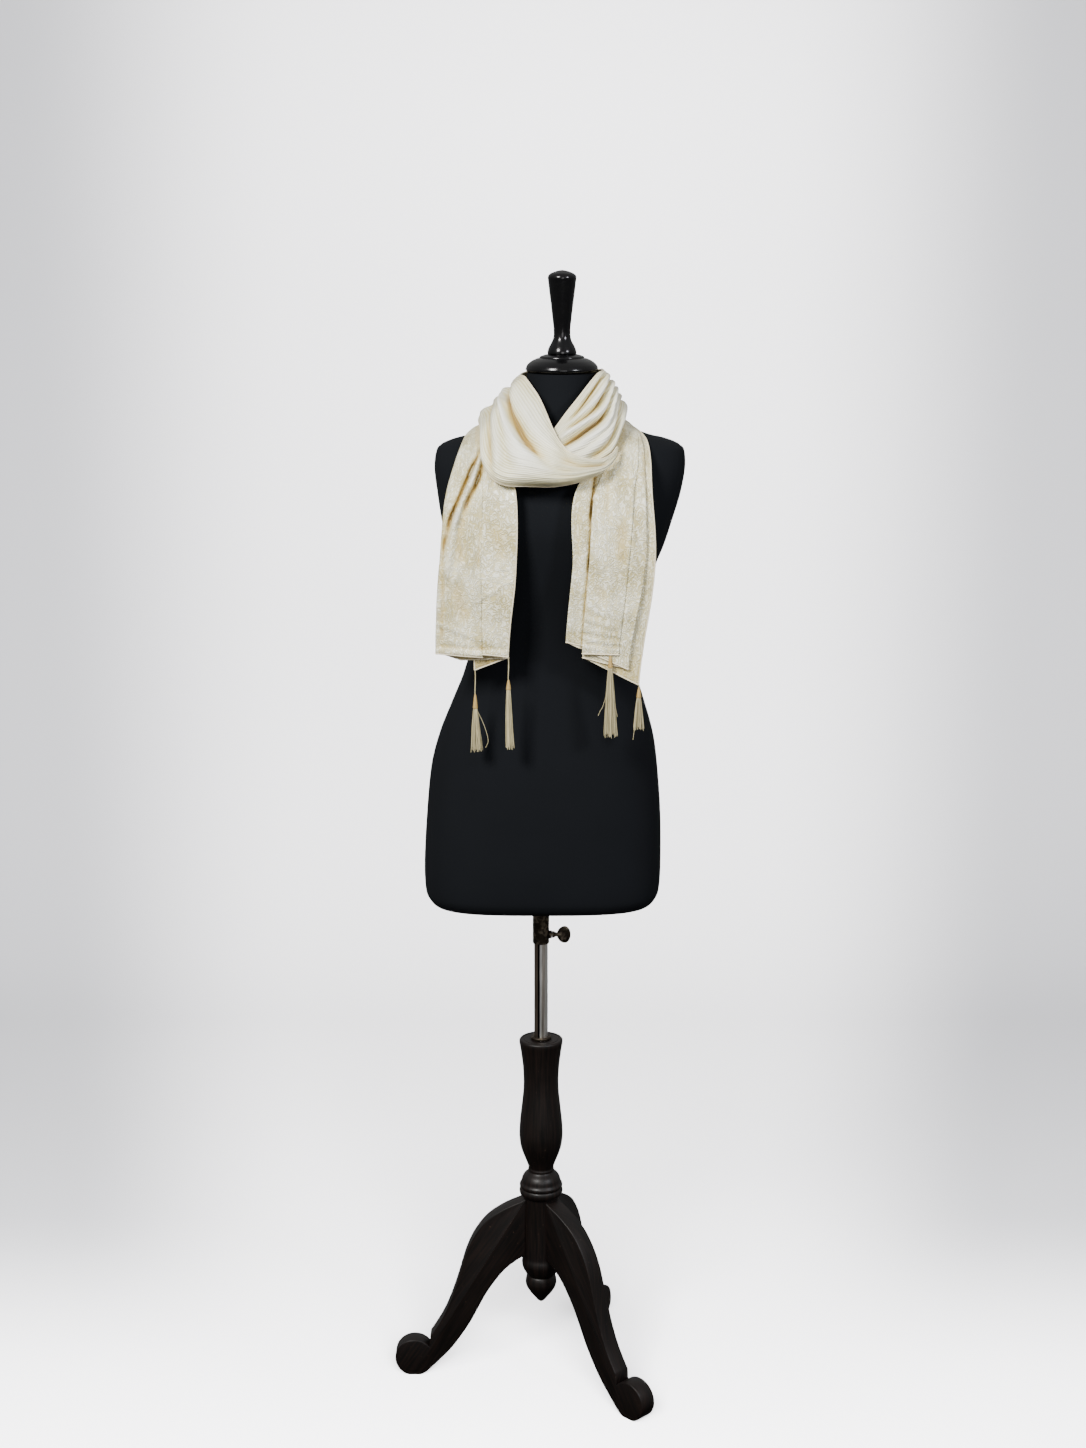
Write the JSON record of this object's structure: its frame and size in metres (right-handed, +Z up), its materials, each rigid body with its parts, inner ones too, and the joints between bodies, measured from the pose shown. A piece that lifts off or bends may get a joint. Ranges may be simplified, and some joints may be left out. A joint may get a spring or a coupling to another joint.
{
  "type": "stole on dress form with stand",
  "caption": "Silk stole wound round the neck of a limbless dress form, its folded ends and corner tassels hanging in front, on a turned wooden tripod stand.",
  "frame": {"origin": "centre of the footprint of the whole object, on the floor", "axes": "+Z up along the pole, -Y the way the form faces, +X to the viewer's right"},
  "size_m": [0.4348, 0.3804, 1.6982],
  "materials": {
    "ivory_silk": "woven silk satin with a fine pebbled sheen",
    "silk_tassel": "twisted silk threads with a wrapped head",
    "black_jersey": "matt stretch jersey",
    "black_lacquer": "gloss black lacquer on turned wood",
    "stained_wood": "very dark stained hardwood, satin",
    "chrome": "polished plating",
    "blackened_steel": "blackened, worn brown at the edges"
  },
  "bodies": {
    "stand": {"column": "stained_wood", "drop_finial": "stained_wood", "pole_ring": "blackened_steel", "leg_right": "stained_wood", "leg_left": "stained_wood", "leg_back": "stained_wood"},
    "pole": {"pole": "chrome"},
    "form": {"torso": "black_jersey", "neck_cap": "black_lacquer", "finial": "black_lacquer", "clamp_collar": "blackened_steel", "stole_front_band": "ivory_silk", "stole_inner_band": "ivory_silk", "stole_back": "ivory_silk", "stole_left_end": "ivory_silk", "stole_right_end": "ivory_silk", "tassel_1": "silk_tassel", "tassel_2": "silk_tassel", "tassel_3": "silk_tassel", "tassel_4": "silk_tassel"},
    "screw": {"thumbscrew": "blackened_steel"}
  },
  "joints": [
    {"name": "swivel", "type": "hinge", "parent": "stand", "child": "pole", "pos_m": [0.01042, -0.01918, 0.552], "axis": [0, 0, 1], "continuous": true},
    {"name": "height", "type": "slide", "parent": "pole", "child": "form", "axis": [0, 0, 1], "range_m": [-0.146, 0.17]},
    {"name": "screw_turn", "type": "hinge", "parent": "form", "child": "screw", "pos_m": [0.02282, -0.01918, 0.717], "axis": [1, 0, 0], "range_deg": [0, 360]}
  ]
}
